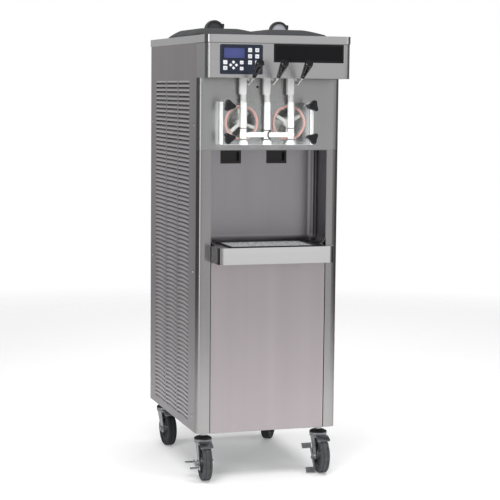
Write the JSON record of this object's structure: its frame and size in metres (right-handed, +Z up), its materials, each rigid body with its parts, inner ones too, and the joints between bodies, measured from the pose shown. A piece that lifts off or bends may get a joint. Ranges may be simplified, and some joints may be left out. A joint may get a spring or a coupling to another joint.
{
  "type": "soft serve machine",
  "caption": "Floor-standing twin soft serve freezer with a clear door, draw handles, splash shelf, louvred stainless cabinet and swivel casters.",
  "frame": {"origin": "on the floor below the middle of the outline at rest", "axes": "+Z up, the spouts face -Y, +X to the right seen from the front"},
  "size_m": [0.5366, 0.8854, 1.5801],
  "materials": {
    "brushed_stainless": "vertical brushed satin",
    "bright_stainless": "fine brushed, bright",
    "zinc": "bright zinc plate",
    "galvanised": "matt",
    "clear_plastic": "clear polished",
    "white_plastic": "semi gloss",
    "pale_plastic": "satin",
    "black_plastic": "satin",
    "dark_plastic": "moulded, fine texture",
    "pink_silicone": "soft",
    "grey_rubber": "matt",
    "overlay_film": "smooth film",
    "display": "clear over blue",
    "plate_black": "smooth",
    "black_paint": "gloss black",
    "aluminium": "mill",
    "copper": "drawn tube"
  },
  "bodies": {
    "cabinet": {"base_frame": "galvanised", "caster_stems": "zinc", "compressor": "black_paint", "condenser": "aluminium", "control_box": "galvanised", "cord_gland": "black_plastic", "corner_columns": "brushed_stainless", "display_window": "display", "door_seals": "pink_silicone", "door_studs": "bright_stainless", "freezer_door": "clear_plastic", "freezer_front_panel": "brushed_stainless", "freezing_cylinders": "bright_stainless", "gear_motors": "black_paint", "handle_bracket": "bright_stainless", "header_panel": "brushed_stainless", "keypad_overlay": "overlay_film", "lower_front_panel": "brushed_stainless", "mix_hoppers": "bright_stainless", "name_plate": "plate_black", "panel_screws": "bright_stainless", "rear_panel": "brushed_stainless", "recess_liner": "brushed_stainless", "refrigerant_lines": "copper", "side_panels": "brushed_stainless", "splash_shelf": "bright_stainless", "spout_caps": "white_plastic", "top_deck": "brushed_stainless"},
    "left_handle": {"left_draw_handle": "bright_stainless", "left_handle_grip": "black_plastic"},
    "left_plunger": {"left_spigot": "white_plastic"},
    "centre_handle": {"centre_draw_handle": "bright_stainless", "centre_handle_grip": "black_plastic"},
    "centre_plunger": {"centre_spigot": "white_plastic"},
    "right_handle": {"right_draw_handle": "bright_stainless", "right_handle_grip": "black_plastic"},
    "right_plunger": {"right_spigot": "white_plastic"},
    "upper_left_knob": {"upper_left_knob": "black_plastic"},
    "upper_right_knob": {"upper_right_knob": "black_plastic"},
    "lower_left_knob": {"lower_left_knob": "black_plastic"},
    "lower_right_knob": {"lower_right_knob": "black_plastic"},
    "left_lid": {"left_hopper_lid": "dark_plastic"},
    "left_drawer": {"left_drain_drawer": "black_plastic"},
    "left_dasher": {"left_auger": "pale_plastic"},
    "right_lid": {"right_hopper_lid": "dark_plastic"},
    "right_drawer": {"right_drain_drawer": "black_plastic"},
    "right_dasher": {"right_auger": "pale_plastic"},
    "tray": {"drip_tray": "black_plastic"},
    "grid": {"drip_grid": "bright_stainless"},
    "fan": {"condenser_fan": "aluminium"},
    "front_left_yoke": {"front_left_caster_yoke": "zinc"},
    "front_left_wheel": {"front_left_caster_wheel": "grey_rubber"},
    "front_right_yoke": {"front_right_caster_yoke": "zinc"},
    "front_right_wheel": {"front_right_caster_wheel": "grey_rubber"},
    "rear_left_yoke": {"rear_left_caster_yoke": "zinc"},
    "rear_left_wheel": {"rear_left_caster_wheel": "grey_rubber"},
    "rear_right_yoke": {"rear_right_caster_yoke": "zinc"},
    "rear_right_wheel": {"rear_right_caster_wheel": "grey_rubber"},
    "front_left_brake": {"front_left_brake_lever": "zinc"},
    "front_right_brake": {"front_right_brake_lever": "zinc"}
  },
  "joints": [
    {"name": "left_handle_pull", "type": "hinge", "parent": "cabinet", "child": "left_handle", "pos_m": [-0.09148, -0.29884, 1.392], "axis": [1, 0, 0], "range_deg": [0, 28]},
    {"name": "left_plunger_lift", "type": "slide", "parent": "cabinet", "child": "left_plunger", "axis": [0, 0, 1], "range_m": [0, 0.0225]},
    {"name": "centre_handle_pull", "type": "hinge", "parent": "cabinet", "child": "centre_handle", "pos_m": [-0.00748, -0.29884, 1.392], "axis": [1, 0, 0], "range_deg": [0, 28]},
    {"name": "centre_plunger_lift", "type": "slide", "parent": "cabinet", "child": "centre_plunger", "axis": [0, 0, 1], "range_m": [0, 0.0225]},
    {"name": "right_handle_pull", "type": "hinge", "parent": "cabinet", "child": "right_handle", "pos_m": [0.07652, -0.29884, 1.392], "axis": [1, 0, 0], "range_deg": [0, 28]},
    {"name": "right_plunger_lift", "type": "slide", "parent": "cabinet", "child": "right_plunger", "axis": [0, 0, 1], "range_m": [0, 0.0225]},
    {"name": "left_lid_lift", "type": "slide", "parent": "cabinet", "child": "left_lid", "axis": [0, 0, 1], "range_m": [0, 0.2]},
    {"name": "right_lid_lift", "type": "slide", "parent": "cabinet", "child": "right_lid", "axis": [0, 0, 1], "range_m": [0, 0.2]},
    {"name": "left_drawer_slide", "type": "slide", "parent": "cabinet", "child": "left_drawer", "axis": [0, -1, 0], "range_m": [0, 0.15]},
    {"name": "right_drawer_slide", "type": "slide", "parent": "cabinet", "child": "right_drawer", "axis": [0, -1, 0], "range_m": [0, 0.15]},
    {"name": "tray_lift", "type": "slide", "parent": "cabinet", "child": "tray", "axis": [0, 0, 1], "range_m": [0, 0.08]},
    {"name": "grid_lift", "type": "slide", "parent": "tray", "child": "grid", "axis": [0, 0, 1], "range_m": [0, 0.06]},
    {"name": "upper_left_knob_turn", "type": "hinge", "parent": "cabinet", "child": "upper_left_knob", "pos_m": [-0.15448, -0.29784, 1.2845], "axis": [0, -1, 0], "range_deg": [0, 1440]},
    {"name": "upper_right_knob_turn", "type": "hinge", "parent": "cabinet", "child": "upper_right_knob", "pos_m": [0.13952, -0.29784, 1.2845], "axis": [0, -1, 0], "range_deg": [0, 1440]},
    {"name": "lower_left_knob_turn", "type": "hinge", "parent": "cabinet", "child": "lower_left_knob", "pos_m": [-0.15448, -0.29784, 1.1765], "axis": [0, -1, 0], "range_deg": [0, 1440]},
    {"name": "lower_right_knob_turn", "type": "hinge", "parent": "cabinet", "child": "lower_right_knob", "pos_m": [0.13952, -0.29784, 1.1765], "axis": [0, -1, 0], "range_deg": [0, 1440]},
    {"name": "front_left_swivel", "type": "hinge", "parent": "cabinet", "child": "front_left_yoke", "pos_m": [-0.20548, -0.17884, 0.1375], "axis": [0, 0, 1], "continuous": true},
    {"name": "front_left_roll", "type": "hinge", "parent": "front_left_yoke", "child": "front_left_wheel", "pos_m": [-0.20846, -0.21672, 0.0635], "axis": [0.9969, -0.0785, 0], "continuous": true},
    {"name": "front_left_brake_press", "type": "hinge", "parent": "front_left_yoke", "child": "front_left_brake", "pos_m": [-0.23217, -0.1968, 0.05], "axis": [0.9969, -0.0785, 0], "range_deg": [0, 50]},
    {"name": "front_right_swivel", "type": "hinge", "parent": "cabinet", "child": "front_right_yoke", "pos_m": [0.21752, -0.17884, 0.1375], "axis": [0, 0, 1], "continuous": true},
    {"name": "front_right_roll", "type": "hinge", "parent": "front_right_yoke", "child": "front_right_wheel", "pos_m": [0.21553, -0.21679, 0.0635], "axis": [0.9986, -0.0523, 0], "continuous": true},
    {"name": "front_right_brake_press", "type": "hinge", "parent": "front_right_yoke", "child": "front_right_brake", "pos_m": [0.19131, -0.19749, 0.05], "axis": [0.9986, -0.0523, 0], "range_deg": [-50, 0]},
    {"name": "rear_left_swivel", "type": "hinge", "parent": "cabinet", "child": "rear_left_yoke", "pos_m": [-0.19948, 0.37416, 0.1375], "axis": [0, 0, 1], "continuous": true},
    {"name": "rear_left_roll", "type": "hinge", "parent": "rear_left_yoke", "child": "rear_left_wheel", "pos_m": [-0.19683, 0.33625, 0.0635], "axis": [0.9976, 0.0698, 0], "continuous": true},
    {"name": "rear_right_swivel", "type": "hinge", "parent": "cabinet", "child": "rear_right_yoke", "pos_m": [0.22352, 0.37416, 0.1375], "axis": [0, 0, 1], "continuous": true},
    {"name": "rear_right_roll", "type": "hinge", "parent": "rear_right_yoke", "child": "rear_right_wheel", "pos_m": [0.20338, 0.34193, 0.0635], "axis": [0.848, -0.5299, 0], "continuous": true},
    {"name": "left_dasher_spin", "type": "hinge", "parent": "cabinet", "child": "left_dasher", "pos_m": [-0.09148, -0.02384, 1.227], "axis": [0, 1, 0], "continuous": true},
    {"name": "right_dasher_spin", "type": "hinge", "parent": "cabinet", "child": "right_dasher", "pos_m": [0.07652, -0.02384, 1.227], "axis": [0, 1, 0], "continuous": true},
    {"name": "fan_spin", "type": "hinge", "parent": "cabinet", "child": "fan", "pos_m": [0.01202, 0.34816, 0.375], "axis": [0, 1, 0], "continuous": true}
  ],
  "couplings": [
    {"joint": "left_plunger_lift", "follows": "left_handle_pull", "m_per_rad": 0.045018},
    {"joint": "centre_plunger_lift", "follows": "centre_handle_pull", "m_per_rad": 0.045018},
    {"joint": "right_plunger_lift", "follows": "right_handle_pull", "m_per_rad": 0.045018}
  ]
}
